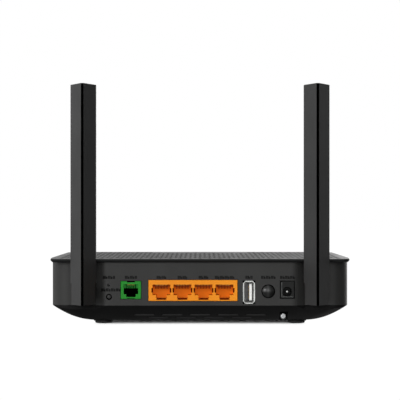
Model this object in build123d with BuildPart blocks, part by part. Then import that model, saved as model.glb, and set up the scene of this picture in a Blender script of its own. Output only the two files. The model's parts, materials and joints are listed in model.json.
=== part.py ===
"""Desktop gateway with two folding antennas, a row of sockets and three push controls.

Millimetres. +Z is up and Z = 0 is the surface that the feet stand on. The sockets face -Y and
+X is to the right of somebody who looks at them. The origin is under the middle of the whole
object's box. Each sub-part is a separate solid, or a group of equal solids, in its own file.
"""

from build123d import *
import os

# ---- driving dimensions -------------------------------------------------------------------
depth_total = 150.0  # antenna ridge to front edge of the cover
antenna_reach = 16.0  # antenna ridge, outside the socket panel
wall_y = -depth_total / 2 + antenna_reach  # plane of the socket panel
front_y = depth_total / 2  # front edge of the cover

cover_top_z = 44.5
cover_edge = 2.2
seam_z = cover_top_z - cover_edge  # cover rests on the wall band here
belly_seam_z = 13.5  # wall band rests on the belly here
belly_z = 2.0  # flat bottom of the belly
belly_inset = 24.0  # the flat bottom starts this far in from the wall's plan
belly_fullness = 1.7  # power of the curve from the seam to the flat bottom; 1 is a straight slope
belly_thickness = 2.2  # upright thickness of the belly's sloping wall
belly_steps = 5
wall_height = seam_z - belly_seam_z
wall_thickness = 2.2

cover_half_rear = 99.0
cover_half_widest = 100.5
cover_half_front = 98.1
cover_widest_y = wall_y + 20.0  # its sides bow out a little, most of all here
cover_side_radius = 150.0
cover_overhang_rear = 3.0
cover_rear_radius = 4.5
cover_front_radius = 13.0
cover_rim_radius = 0.25
cover_under_chamfer = 1.1
wall_half_rear = 99.2
wall_half_front = 96.7
wall_front_y = front_y - 3.0
wall_corner_radius = 11.0
bay_depth = 3.5  # the panel rolls back this far behind the antennas
bay_start_x = 63.0
bay_end_x = 69.8
panel_half = 71.0  # the socket panel ends here, behind the antennas
panel_zone_depth = 16.0  # takes in the whole rear wall and no more of the sides
bay_start_radius = 10.0
bay_end_radius = 4.0

board_top_z = 15.5
board_thickness = 1.6
board_bottom_z = board_top_z - board_thickness
board_middle_y = 5.6
board_size = (168.0, 116.8)
board_tab_depth = 4.8  # the board's rear edge reaches to the sockets between the bays
board_tab_size = (110.0, 4.0)
board_hole_gap = 1.6
board_hole_radius = 1.6

foot_radius = 5.8
foot_height = 2.6
foot_boss_z = 1.6
feet_x = 65.6
feet_y = (wall_y + 27.0, front_y - 28.0)
foot_spots = [(x, y) for x in (-feet_x, feet_x) for y in feet_y]
notch_x = 56.2  # middle of the notch that the belly's screw sits in
notch_width = 5.6
notch_top_z = 9.0
notch_back_y = wall_y + 20.5
notch_screw_z = 5.1
notch_screw_radius = 2.2
notch_shank = 9.0
notch_wall = 1.3
notch_block_y = wall_y + 5.0  # the solid block around the notch starts here
notch_block_length = 25.0
notch_length = 20.0
notch_head_height = 1.8
notch_head_fillet = 0.7
notch_cross = (2.6, 0.6)  # length and width of each arm of the cross recess
notch_cross_depth = 1.0
screw_shank_radius = 1.25
foot_boss_radius = foot_radius + 0.9
foot_boss_height = 2.8
foot_edge_radius = 0.9
case_head_radius = 2.6
case_head_height = 1.7
case_head_gap = 0.1
case_shank_length = 19.0
case_head_hole_radius = 2.8
case_head_hole_depth = 1.8
case_clearance_radius = 1.5
board_screw_radius = 1.1
board_screw_length = 8.0
board_head_radius = 2.5
board_head_height = 1.4
board_pilot_bottom_z = 6.0
board_screw_spots = [(x, y) for x in (-50.0, 50.0) for y in (-22.0, 20.0)]

vent_length = 14.4
vent_width = 1.9
vent_pitch = 18.7
vent_row_pitch = 4.7
vent_rows = 9
vent_first_y = wall_y + 9.8

label_y = 26.0
label_size = (66.0, 30.0)
label_corner_radius = 2.0
label_thickness = 0.15

socket_gap = 0.25  # between a socket's face and its window in the wall
socket_edge_chamfer = 0.25
face_set_back = 0.1
body_set_back = wall_thickness + 0.8  # a socket's body widens behind the wall

lan_pitch = 13.97
lan_centre = (-4.65, 23.45)
lan_size = (59.1, 13.9)
lan_depth = 16.0
lan_cavity_depth = 12.5
lan_ports = [lan_centre[0] + (i - 1.5) * lan_pitch for i in range(4)]
lan_base_z = 16.5
lan_base_height = 2.0
lan_plug_centre_z = 23.9
lan_plug_size = (11.8, 7.0)
lan_ear_centre_z = 23.6
lan_ear_size = (13.2, 3.0)  # notches at both sides of a port
lan_latch_centre_z = 19.4
lan_latch_size = (7.0, 2.4)
lan_sill_centre_z = 17.8
lan_sill_size = (7.0, 1.0)
lan_sill_angle = 120
contact_pitch = 1.02
contact_half_width = 0.2
contact_thickness = 0.4
lan_contact_front = 1.2  # depths behind the socket panel
lan_contact_bend = 8.6
lan_contact_back = 12.6
lan_contact_top_z = 27.2
lan_contact_rest_z = 25.0

phone_centre = (-45.85, 23.72)
phone_size = (13.5, 11.75)
phone_depth = 15.0
phone_cavity_depth = 11.5
phone_base_z = 17.5
phone_base_height = 4.0
phone_plug_centre_z = 24.3
phone_plug_size = (9.6, 6.6)
phone_latch_centre_z = 20.1
phone_latch_size = (6.3, 2.0)
phone_top_notch_z = 29.3
phone_top_notch_size = (5.3, 0.9)
phone_low_notch_z = 18.1
phone_low_notch_size = (5.0, 0.8)
phone_notch_depth = 3.0
phone_contact_pitch = 1.27
phone_contact_half_width = 0.22
phone_contact_front = 1.0
phone_contact_bend = 8.0
phone_contact_back = 11.6
phone_contact_top_z = 27.4
phone_contact_rest_z = 25.2

usb_centre = (32.5, 22.3)
usb_frame_size = (8.0, 15.2)
usb_tube_size = (5.9, 13.3)
usb_opening_size = (5.1, 12.5)
usb_depth = 14.0
usb_frame_chamfer = 1.7
usb_frame_thickness = 0.7
usb_back_thickness = 1.0
usb_flare = 1.4
usb_flare_chamfer = 0.9
usb_tongue_start = 1.6
usb_tongue_offset = 1.15  # the tongue is to the right of the opening's middle
usb_tongue_size = (1.9, 11.1)
usb_contact_start = 2.2
usb_contact_offset = 0.05
usb_contact_pitch = 2.25
usb_contact_size = (0.3, 1.1)
usb_contact_length = 8.0

jack_centre = (57.95, 24.0)
jack_size = (9.5, 11.6)
jack_depth = 14.0
jack_hole_centre = (57.9, 22.6)
jack_hole_radius = 2.9
jack_hole_depth = 10.0
jack_edge_chamfer = 0.4
jack_base_z = 17.0
jack_base_height = 3.0
jack_pin_radius = 1.0
jack_pin_length = 9.0
jack_pin_root = 10.1  # depth of the pin's far end behind the panel

power_button_centre = (45.3, 22.9)
power_button_radius = 3.95
power_hole_radius = 4.6
wps_centre = (-60.4, 19.2)
wps_radius = 1.2
wps_hole_radius = 2.0
reset_centre = (-60.6, 27.0)
reset_hole_radius = 0.9

antenna_x = 76.9
antenna_half = 8.4
antenna_foot_half = 7.7
antenna_back = wall_y - 3.5  # flat back of a raised antenna
antenna_side = wall_y - 7.0  # where the slanted faces start
antenna_ridge = wall_y - antenna_reach
ridge_half = 0.85
ridge_strip_depth = 1.0
antenna_bottom_z = 14.5
antenna_top_z = 159.9
antenna_top_fall = 0.8
antenna_step_z = 28.7
antenna_hollow_z = (31.0, 157.0)
antenna_shell = 1.6

pivot_y = wall_y - 7.5
pivot_z = 22.5
knuckle_radius = 3.2
knuckle_half = 4.0
pin_radius = 1.0
running_gap = 0.05
swivel_shaft_radius = 5.0
swivel_disc_radius = 6.2
swivel_bore_radius = 2.0
bay_y = wall_y + bay_depth


# ---- shared outlines ----------------------------------------------------------------------
def socket_plane(depth):
    """Plane parallel to the socket panel, this deep behind it: local axes are X and Z."""
    return Plane.XZ.offset(-(wall_y + depth))


def wall_outline(height, inset=0.0):
    """Plan of the wall band: a tapered box whose back panel rolls back into two bays."""
    right = [
        (bay_start_x, wall_y, bay_start_radius),
        (bay_end_x, bay_y, bay_end_radius),
        (wall_half_rear, bay_y, wall_corner_radius),
        (wall_half_front, wall_front_y, wall_corner_radius),
    ]
    left = [(-x, y, radius) for x, y, radius in reversed(right)]
    with BuildSketch(Plane.XY.offset(height)) as outline:
        with BuildLine():
            FilletPolyline(
                *[(x, y) for x, y, radius in right + left],
                radius=[radius for x, y, radius in right + left],
                close=True,
            )
        make_face()
        if inset:
            offset(amount=-inset)
    return outline.sketch


def belly_outline(height, inset):
    """Level section of the belly, drawn in from the wall's plan."""
    rear = wall_half_rear - inset
    front = wall_half_front - inset
    with BuildSketch(Plane.XY.offset(height)) as outline:
        with BuildLine():
            FilletPolyline(
                (-rear, wall_y + inset),
                (rear, wall_y + inset),
                (front, wall_front_y - inset),
                (-front, wall_front_y - inset),
                radius=wall_corner_radius,
                close=True,
            )
        make_face()
    return outline.sketch


def belly_levels(lift):
    """Level sections of the belly's outside, raised by this much, from the seam down."""
    rise = belly_seam_z - belly_z
    top_share = 1 - lift / rise
    shares = [top_share * (belly_steps - step) / belly_steps for step in range(belly_steps + 1)]
    return [
        belly_outline(
            belly_z + lift + rise * share,
            belly_inset * (1 - share ** (1 / belly_fullness)),
        )
        for share in shares
    ]


def cover_outline(height):
    """Plan of the cover: its sides bow out a little behind the rear corners."""
    right = [
        (cover_half_rear, wall_y - cover_overhang_rear, cover_rear_radius),
        (cover_half_widest, cover_widest_y, cover_side_radius),
        (cover_half_front, front_y, cover_front_radius),
    ]
    left = [(-x, y, radius) for x, y, radius in reversed(right)]
    with BuildSketch(Plane.XY.offset(height)) as outline:
        with BuildLine():
            FilletPolyline(
                *[(x, y) for x, y, radius in right + left],
                radius=[radius for x, y, radius in right + left],
                close=True,
            )
        make_face()
    return outline.sketch


def disc(radius, height, spots):
    with BuildSketch(Plane.XY.offset(height)) as circles:
        with Locations(*spots):
            Circle(radius)
    return circles.sketch


def board_blocks(sizes_and_spots, height, rise):
    """Blocks that stand on the board: (width, depth, x, y) each."""
    with BuildSketch(Plane.XY.offset(height)) as plan:
        for width, depth, x, y in sizes_and_spots:
            with Locations((x, y)):
                Rectangle(width, depth)
    extrude(plan.sketch, amount=rise)


# ---- casing -------------------------------------------------------------------------------
post_radius = 3.25
pilot_depth = 10.0
post_bottom_z = 16.5
led_spots = [(9.0 * (i - 3), wall_front_y - 14.0) for i in range(7)]
led_post_radius = 0.9

with BuildPart() as top_cover:
    extrude(cover_outline(seam_z), amount=cover_edge)
    rim = top_cover.faces().sort_by(Axis.Z)[-1].edges()
    fillet(rim, radius=cover_rim_radius)
    lower_rim = top_cover.faces().sort_by(Axis.Z)[0].edges()
    chamfer(lower_rim, length=cover_under_chamfer)
    skirt_depth = 3.0
    skirt_gap = 0.2
    skirt_thickness = 1.4
    skirt_z = seam_z - skirt_depth
    extrude(wall_outline(skirt_z, wall_thickness + skirt_gap), amount=skirt_depth)
    skirt_inner = wall_outline(skirt_z, wall_thickness + skirt_gap + skirt_thickness)
    extrude(skirt_inner, amount=skirt_depth, mode=Mode.SUBTRACT)
    extrude(disc(post_radius, post_bottom_z, foot_spots), amount=seam_z - post_bottom_z)
    pilot_holes = disc(screw_shank_radius, post_bottom_z, foot_spots)
    extrude(pilot_holes, amount=pilot_depth, mode=Mode.SUBTRACT)
    led_holes = disc(led_post_radius, seam_z, led_spots)
    extrude(led_holes, amount=cover_edge, mode=Mode.SUBTRACT)

with BuildPart() as casing_wall:
    extrude(wall_outline(belly_seam_z), amount=wall_height)
    extrude(wall_outline(belly_seam_z, wall_thickness), amount=wall_height, mode=Mode.SUBTRACT)
    with BuildSketch(socket_plane(0.0)) as windows:
        for centre, size in (
            (lan_centre, lan_size),
            (phone_centre, phone_size),
            (usb_centre, usb_frame_size),
            (jack_centre, jack_size),
        ):
            with Locations(centre):
                Rectangle(size[0] + 2 * socket_gap, size[1] + 2 * socket_gap)
        for centre, radius in (
            (power_button_centre, power_hole_radius),
            (wps_centre, wps_hole_radius),
            (reset_centre, reset_hole_radius),
            ((-antenna_x, pivot_z), swivel_shaft_radius + running_gap),
            ((antenna_x, pivot_z), swivel_shaft_radius + running_gap),
        ):
            with Locations(centre):
                Circle(radius)
    extrude(amount=-(bay_depth + 2 * wall_thickness), mode=Mode.SUBTRACT)

with BuildSketch(Plane.XY) as panel_zone:
    with Locations((0.0, wall_y)):
        Rectangle(2 * panel_half, panel_zone_depth)

with BuildPart() as socket_panel:
    add(casing_wall.part)
    extrude(panel_zone.sketch, amount=cover_top_z, mode=Mode.INTERSECT)

with BuildPart() as wall_band:
    add(casing_wall.part)
    extrude(panel_zone.sketch, amount=cover_top_z, mode=Mode.SUBTRACT)

boss_radius = 4.0
board_boss_radius = 3.2
boss_start_z = 3.0  # inside the thickness of the flat bottom

with BuildPart() as belly_hull:
    loft(belly_levels(0.0))
    extrude(wall_outline(0.0), amount=belly_seam_z, mode=Mode.INTERSECT)

with BuildPart() as bottom_shell:
    add(belly_hull.part)
    loft(belly_levels(belly_thickness), mode=Mode.SUBTRACT)
    # Solid block around the notch, trimmed to the outside of the hull.
    with BuildSketch(Plane.XY):
        with Locations((notch_x, notch_block_y)):
            notch_block = (notch_width + 2 * notch_wall, notch_block_length)
            Rectangle(*notch_block, align=(Align.CENTER, Align.MIN))
    extrude(amount=notch_top_z + notch_wall)
    add(belly_hull.part, mode=Mode.INTERSECT)
    with BuildSketch(Plane.XY):
        with Locations((notch_x, notch_back_y)):
            Rectangle(notch_width, notch_length, align=(Align.CENTER, Align.MAX))
    extrude(amount=notch_top_z, mode=Mode.SUBTRACT)
    with BuildSketch(Plane.XZ.offset(-notch_back_y)):
        with Locations((notch_x, notch_screw_z)):
            Circle(screw_shank_radius)
    extrude(amount=-notch_shank, mode=Mode.SUBTRACT)
    extrude(disc(foot_boss_radius, foot_boss_z, foot_spots), amount=foot_boss_height)
    extrude(disc(boss_radius, boss_start_z, foot_spots), amount=post_bottom_z - boss_start_z)
    board_boss = disc(board_boss_radius, boss_start_z, board_screw_spots)
    extrude(board_boss, amount=board_bottom_z - boss_start_z)
    foot_recess = foot_height - foot_boss_z
    extrude(disc(foot_radius, foot_boss_z, foot_spots), amount=foot_recess, mode=Mode.SUBTRACT)
    head_holes = disc(case_head_hole_radius, foot_height, foot_spots)
    extrude(head_holes, amount=case_head_hole_depth, mode=Mode.SUBTRACT)
    shank_holes = disc(case_clearance_radius, foot_height, foot_spots)
    extrude(shank_holes, amount=post_bottom_z, mode=Mode.SUBTRACT)
    board_pilots = disc(board_screw_radius, board_pilot_bottom_z, board_screw_spots)
    extrude(board_pilots, amount=board_screw_length, mode=Mode.SUBTRACT)
    with BuildSketch(Plane.XY) as vents:
        for row in range(vent_rows):
            slots = 5 - row % 2
            with Locations((0.0, vent_first_y + row * vent_row_pitch)):
                with GridLocations(vent_pitch, 1.0, slots, 1):
                    SlotOverall(vent_length, vent_width)
    extrude(amount=belly_seam_z, mode=Mode.SUBTRACT)

with BuildPart() as rubber_feet:
    extrude(disc(foot_radius, 0.0, foot_spots), amount=foot_height)
    ground_edges = rubber_feet.edges().group_by(Axis.Z)[0]
    fillet(ground_edges, radius=foot_edge_radius)

with BuildPart() as rating_label:
    with BuildSketch(Plane.XY.offset(belly_z)):
        with Locations((0.0, label_y)):
            RectangleRounded(*label_size, label_corner_radius)
    extrude(amount=-label_thickness)

with BuildPart() as case_screws:
    head_z = foot_height + case_head_gap
    extrude(disc(case_head_radius, head_z, foot_spots), amount=case_head_height)
    shank_z = head_z + case_head_height
    extrude(disc(screw_shank_radius, shank_z, foot_spots), amount=case_shank_length)

with BuildPart() as notch_screw:
    head_plane = Plane.XZ.offset(-(notch_back_y - notch_head_height))
    with BuildSketch(head_plane):
        with Locations((notch_x, notch_screw_z)):
            Circle(notch_screw_radius)
    extrude(amount=-notch_head_height)
    fillet(notch_screw.edges().sort_by(Axis.Y)[0], radius=notch_head_fillet)
    with BuildSketch(head_plane):
        with Locations((notch_x, notch_screw_z)):
            Rectangle(*notch_cross)
            Rectangle(*reversed(notch_cross))
    extrude(amount=-notch_cross_depth, mode=Mode.SUBTRACT)
    with BuildSketch(Plane.XZ.offset(-notch_back_y)):
        with Locations((notch_x, notch_screw_z)):
            Circle(screw_shank_radius)
    extrude(amount=-notch_shank)

# ---- board --------------------------------------------------------------------------------
with BuildPart() as main_board:
    with BuildSketch(Plane.XY.offset(board_bottom_z)):
        with Locations((0.0, board_middle_y)):
            Rectangle(*board_size)
        with Locations((0.0, wall_y + board_tab_depth)):
            Rectangle(*board_tab_size)
        with Locations(*foot_spots):
            Circle(boss_radius + board_hole_gap, mode=Mode.SUBTRACT)
        with Locations(*board_screw_spots):
            Circle(board_hole_radius, mode=Mode.SUBTRACT)
    extrude(amount=board_thickness)

with BuildPart() as board_screws:
    extrude(disc(board_head_radius, board_top_z, board_screw_spots), amount=board_head_height)
    extrude(disc(board_screw_radius, board_top_z, board_screw_spots), amount=-board_screw_length)

# ---- network sockets ----------------------------------------------------------------------
with BuildPart() as lan_jack_block:
    with BuildSketch(socket_plane(face_set_back)):
        with Locations(lan_centre):
            Rectangle(*lan_size)
    extrude(amount=-lan_depth)
    front_edges = lan_jack_block.faces().sort_by(Axis.Y)[0].edges()
    chamfer(front_edges, length=socket_edge_chamfer)
    with BuildSketch(socket_plane(body_set_back)):
        with Locations((lan_centre[0], lan_base_z)):
            Rectangle(lan_size[0] - 2.0, lan_base_height)
    extrude(amount=-(lan_depth - body_set_back))
    with BuildSketch(socket_plane(wall_thickness)):
        with Locations((lan_centre[0], board_top_z - 1.0)):
            Rectangle(lan_size[0], 2.0)
    extrude(amount=-lan_depth, mode=Mode.SUBTRACT)
    with BuildSketch(socket_plane(face_set_back)) as ports:
        for x in lan_ports:
            with Locations((x, lan_plug_centre_z)):
                Rectangle(*lan_plug_size)
            with Locations((x, lan_ear_centre_z)):
                Rectangle(*lan_ear_size)
            with Locations((x, lan_latch_centre_z)):
                Rectangle(*lan_latch_size)
            with Locations((x, lan_sill_centre_z)):
                Trapezoid(*lan_sill_size, lan_sill_angle, rotation=180)
    extrude(amount=-lan_cavity_depth, mode=Mode.SUBTRACT)



def contact_profile(x, depths, heights):
    """Side view of a sprung contact: it slopes down from the mouth and lies flat behind."""
    front, bend, back = (wall_y + depth for depth in depths)
    rest_z, top_z = heights
    with BuildSketch(Plane.YZ.offset(x)) as profile:
        with BuildLine():
            Polyline(
                (front, top_z),
                (front, top_z - 0.3),
                (bend, rest_z),
                (back, rest_z),
                (back, rest_z + contact_thickness),
                (bend + 0.1, rest_z + contact_thickness),
                (front + 1.0, top_z),
                close=True,
            )
        make_face()
    return profile.sketch


with BuildPart() as lan_contacts:
    for port_x in lan_ports:
        for i in range(8):
            x = port_x + (i - 3.5) * contact_pitch
            profile = contact_profile(
                x,
                (lan_contact_front, lan_contact_bend, lan_contact_back),
                (lan_contact_rest_z, lan_contact_top_z),
            )
            extrude(profile, amount=contact_half_width, both=True)

with BuildPart() as phone_jack:
    with BuildSketch(socket_plane(face_set_back)):
        with Locations(phone_centre):
            Rectangle(*phone_size)
    extrude(amount=-phone_depth)
    phone_front = phone_jack.faces().sort_by(Axis.Y)[0].edges()
    chamfer(phone_front, length=socket_edge_chamfer)
    with BuildSketch(socket_plane(body_set_back)):
        with Locations((phone_centre[0], phone_base_z)):
            Rectangle(phone_size[0] - 2.0, phone_base_height)
    extrude(amount=-(phone_depth - body_set_back))
    with BuildSketch(socket_plane(face_set_back)):
        with Locations((phone_centre[0], phone_plug_centre_z)):
            Rectangle(*phone_plug_size)
        with Locations((phone_centre[0], phone_latch_centre_z)):
            Rectangle(*phone_latch_size)
    extrude(amount=-phone_cavity_depth, mode=Mode.SUBTRACT)
    with BuildSketch(socket_plane(face_set_back)):
        with Locations((phone_centre[0], phone_top_notch_z)):
            Rectangle(*phone_top_notch_size)
        with Locations((phone_centre[0], phone_low_notch_z)):
            Rectangle(*phone_low_notch_size)
    extrude(amount=-phone_notch_depth, mode=Mode.SUBTRACT)

with BuildPart() as phone_contacts:
    for i in range(4):
        profile = contact_profile(
            phone_centre[0] + (i - 1.5) * phone_contact_pitch,
            (phone_contact_front, phone_contact_bend, phone_contact_back),
            (phone_contact_rest_z, phone_contact_top_z),
        )
        extrude(profile, amount=phone_contact_half_width, both=True)

with BuildPart() as lan_magnetics:
    board_blocks([(16.0, 9.0, -19.0, -34.0), (16.0, 9.0, 10.0, -34.0)], board_top_z, 6.0)
    chamfer(lan_magnetics.edges().group_by(Axis.Z)[-1], length=0.5)

# ---- USB socket ---------------------------------------------------------------------------
with BuildPart() as usb_shell:
    with BuildSketch(socket_plane(face_set_back)):
        with Locations(usb_centre):
            Rectangle(*usb_frame_size)
        chamfer(vertices(), length=usb_frame_chamfer)
    extrude(amount=-usb_frame_thickness)
    with BuildSketch(socket_plane(face_set_back)):
        with Locations(usb_centre):
            Rectangle(*usb_tube_size)
    extrude(amount=-usb_depth)
    with BuildSketch(socket_plane(face_set_back)) as mouth:
        with Locations(usb_centre):
            Rectangle(*usb_opening_size)
    extrude(amount=-(usb_depth - usb_back_thickness), mode=Mode.SUBTRACT)
    with BuildSketch(socket_plane(face_set_back)) as flare:
        with Locations(usb_centre):
            Rectangle(usb_opening_size[0] + usb_flare, usb_opening_size[1] + usb_flare)
            chamfer(vertices(), length=usb_flare_chamfer)
    extrude(amount=-usb_flare / 2, taper=45, mode=Mode.SUBTRACT)

with BuildPart() as usb_tongue:
    with BuildSketch(socket_plane(usb_tongue_start)):
        with Locations((usb_centre[0] + usb_tongue_offset, usb_centre[1])):
            Rectangle(*usb_tongue_size)
    extrude(amount=-(usb_depth + face_set_back - usb_back_thickness - usb_tongue_start))
    chamfer(usb_tongue.faces().sort_by(Axis.Y)[0].edges(), length=0.3)

with BuildPart() as usb_contacts:
    with BuildSketch(socket_plane(usb_contact_start)):
        for i in range(4):
            rise = (i - 1.5) * usb_contact_pitch
            with Locations((usb_centre[0] + usb_contact_offset, usb_centre[1] + rise)):
                Rectangle(*usb_contact_size)
    extrude(amount=-usb_contact_length)

# ---- power inlet --------------------------------------------------------------------------
with BuildPart() as power_jack:
    with BuildSketch(socket_plane(face_set_back)):
        with Locations(jack_centre):
            Rectangle(*jack_size)
    extrude(amount=-jack_depth)
    chamfer(power_jack.faces().sort_by(Axis.Y)[0].edges(), length=jack_edge_chamfer)
    with BuildSketch(socket_plane(body_set_back)):
        with Locations((jack_centre[0], jack_base_z)):
            Rectangle(jack_size[0], jack_base_height)
    extrude(amount=-(jack_depth - body_set_back))
    with BuildSketch(socket_plane(face_set_back)):
        with Locations(jack_hole_centre):
            Circle(jack_hole_radius)
    extrude(amount=-jack_hole_depth, mode=Mode.SUBTRACT)
    mouth_edge = power_jack.edges().filter_by(GeomType.CIRCLE).sort_by(Axis.Y)[0]
    chamfer(mouth_edge, length=jack_edge_chamfer)

with BuildPart() as power_jack_pin:
    with BuildSketch(socket_plane(jack_pin_root)):
        with Locations(jack_hole_centre):
            Circle(jack_pin_radius)
    extrude(amount=jack_pin_length)
    fillet(power_jack_pin.edges().sort_by(Axis.Y)[0], radius=0.6)

# ---- push controls ------------------------------------------------------------------------
def turned_key(radius, dome, face, flange_radius, flange_near, flange_far, stem_radius, end):
    """Half profile of a key turned about its own axis: local X is the radius, Y the depth."""
    with BuildLine() as profile:
        ThreePointArc((0.0, face - dome), (radius / 2, face - 0.77 * dome), (radius, face))
        Polyline(
            (radius, face),
            (radius, flange_near),
            (flange_radius, flange_near),
            (flange_radius, flange_far),
            (stem_radius, flange_far),
            (stem_radius, end),
            (0.0, end),
            (0.0, face - dome),
        )
    return profile.line


def key_plane(centre):
    """Plane through a key's axis: local X is +X, local Y is depth behind the panel."""
    return Plane((centre[0], wall_y, centre[1]), x_dir=(1, 0, 0), z_dir=(0, 0, 1))


def key_axis(centre):
    return Axis((centre[0], wall_y, centre[1]), (0, 1, 0))


def push_key(centre, *sizes):
    with BuildSketch(key_plane(centre)) as section:
        with BuildLine():
            add(turned_key(*sizes))
        make_face()
    return section.sketch


with BuildPart() as power_button:
    section = push_key(power_button_centre, power_button_radius, 1.3, -0.5, 5.3, 2.6, 3.6, 2.0, 9.0)
    revolve(section, axis=key_axis(power_button_centre))

with BuildPart() as power_switch:
    with BuildSketch(socket_plane(7.0)):
        with Locations((power_button_centre[0], (board_top_z + 27.2) / 2)):
            Rectangle(9.0, 27.2 - board_top_z)
    extrude(amount=-10.0)
    chamfer(power_switch.faces().sort_by(Axis.Y)[0].edges(), length=0.4)
    with BuildSketch(socket_plane(7.0)):
        with Locations(power_button_centre):
            Circle(2.1)
    extrude(amount=-6.0, mode=Mode.SUBTRACT)

with BuildPart() as wps_button:
    section = push_key(wps_centre, wps_radius, 0.15, 0.35, 2.4, 2.8, 3.5, 1.2, 6.4)
    revolve(section, axis=key_axis(wps_centre))

with BuildPart() as reset_plunger:
    section = push_key(reset_centre, 1.3, 0.2, 4.3, 1.8, 4.6, 5.0, 1.5, 6.6)
    revolve(section, axis=key_axis(reset_centre))


def tact_switch(centre, bore_radius):
    """Square switch body that faces the panel, with the bore that its plunger slides in."""
    with BuildSketch(socket_plane(5.5)) as face:
        with Locations(centre):
            Rectangle(6.0, 6.0)
            Circle(bore_radius, mode=Mode.SUBTRACT)
    extrude(face.sketch, amount=-2.5)
    with BuildSketch(socket_plane(8.0)) as back:
        with Locations(centre):
            Rectangle(6.0, 6.0)
    extrude(back.sketch, amount=-1.0)


with BuildPart() as wps_switch:
    tact_switch(wps_centre, 1.3)

with BuildPart() as reset_switch:
    tact_switch(reset_centre, 1.6)

with BuildPart() as button_board:
    with BuildSketch(socket_plane(9.0)):
        with Locations((-60.5, (board_top_z + 31.0) / 2)):
            Rectangle(9.0, 31.0 - board_top_z)
    extrude(amount=-1.2)

# ---- electronics on the board -------------------------------------------------------------
with BuildPart() as processor:
    board_blocks([(24.0, 24.0, 0.0, 2.0)], board_top_z, 2.0)

with BuildPart() as thermal_pad:
    board_blocks([(22.0, 22.0, 0.0, 2.0)], board_top_z + 2.0, 1.0)

with BuildPart() as heat_sink:
    board_blocks([(44.0, 44.0, 0.0, 2.0)], board_top_z + 3.0, 2.5)
    fins = [(1.2, 44.0, -21.0 + 4.2 * i, 2.0) for i in range(11)]
    board_blocks(fins, board_top_z + 5.5, 9.0)

with BuildPart() as memory_chips:
    chips = [(10.0, 12.0, -31.0, 0.0), (10.0, 12.0, 31.0, 0.0), (12.0, 9.0, 0.0, 37.0)]
    board_blocks(chips, board_top_z, 1.2)

with BuildPart() as phone_line_chip:
    board_blocks([(9.0, 9.0, -46.0, -34.0)], board_top_z, 1.4)

with BuildPart() as radio_shields:
    board_blocks([(34.0, 28.0, -60.0, 0.0), (34.0, 28.0, 60.0, 0.0)], board_top_z, 3.6)
    fillet(radio_shields.edges().group_by(Axis.Z)[-1], radius=0.5)

with BuildPart() as capacitors:
    extrude(disc(4.0, board_top_z, [(34.0, -36.0), (44.0, -36.0)]), amount=12.0)
    extrude(disc(3.0, board_top_z, [(-34.0, -34.0)]), amount=9.0)

with BuildPart() as inductors:
    board_blocks([(8.0, 8.0, 38.0, -22.0), (8.0, 8.0, 74.0, -24.0)], board_top_z, 4.2)
    chamfer(inductors.edges().group_by(Axis.Z)[-1], length=0.8)

with BuildPart() as crystal:
    board_blocks([(4.0, 11.0, -14.0, 37.0)], board_top_z, 3.0)

with BuildPart() as status_leds:
    leds = [(2.0, 1.4, x, y) for x, y in led_spots]
    board_blocks(leds, board_top_z, 0.9)

with BuildPart() as light_pipe:
    bar_z = 37.0
    board_blocks([(60.0, 3.6, 0.0, led_spots[0][1])], bar_z, 2.2)
    leg_z = board_top_z + 1.6
    extrude(disc(led_post_radius, leg_z, led_spots), amount=bar_z - leg_z)
    extrude(disc(led_post_radius, bar_z + 2.2, led_spots), amount=cover_top_z - bar_z - 2.2)

lead_start_x = 72.0
lead_start_y = 22.0
with BuildPart() as antenna_connectors:
    sites = [(2.6, 2.6, side * lead_start_x, lead_start_y) for side in (-1, 1)]
    board_blocks(sites, board_top_z, 1.3)

static_parts = {
    "top_cover": top_cover,
    "socket_panel": socket_panel,
    "wall_band": wall_band,
    "bottom_shell": bottom_shell,
    "rubber_feet": rubber_feet,
    "rating_label": rating_label,
    "case_screws": case_screws,
    "notch_screw": notch_screw,
    "main_board": main_board,
    "board_screws": board_screws,
    "lan_jack_block": lan_jack_block,
    "lan_contacts": lan_contacts,
    "phone_jack": phone_jack,
    "phone_contacts": phone_contacts,
    "lan_magnetics": lan_magnetics,
    "usb_shell": usb_shell,
    "usb_tongue": usb_tongue,
    "usb_contacts": usb_contacts,
    "power_jack": power_jack,
    "power_jack_pin": power_jack_pin,
    "power_button": power_button,
    "power_switch": power_switch,
    "wps_button": wps_button,
    "wps_switch": wps_switch,
    "reset_plunger": reset_plunger,
    "reset_switch": reset_switch,
    "button_board": button_board,
    "processor": processor,
    "thermal_pad": thermal_pad,
    "heat_sink": heat_sink,
    "memory_chips": memory_chips,
    "phone_line_chip": phone_line_chip,
    "radio_shields": radio_shields,
    "capacitors": capacitors,
    "inductors": inductors,
    "crystal": crystal,
    "status_leds": status_leds,
    "light_pipe": light_pipe,
    "antenna_connectors": antenna_connectors,
}


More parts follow.
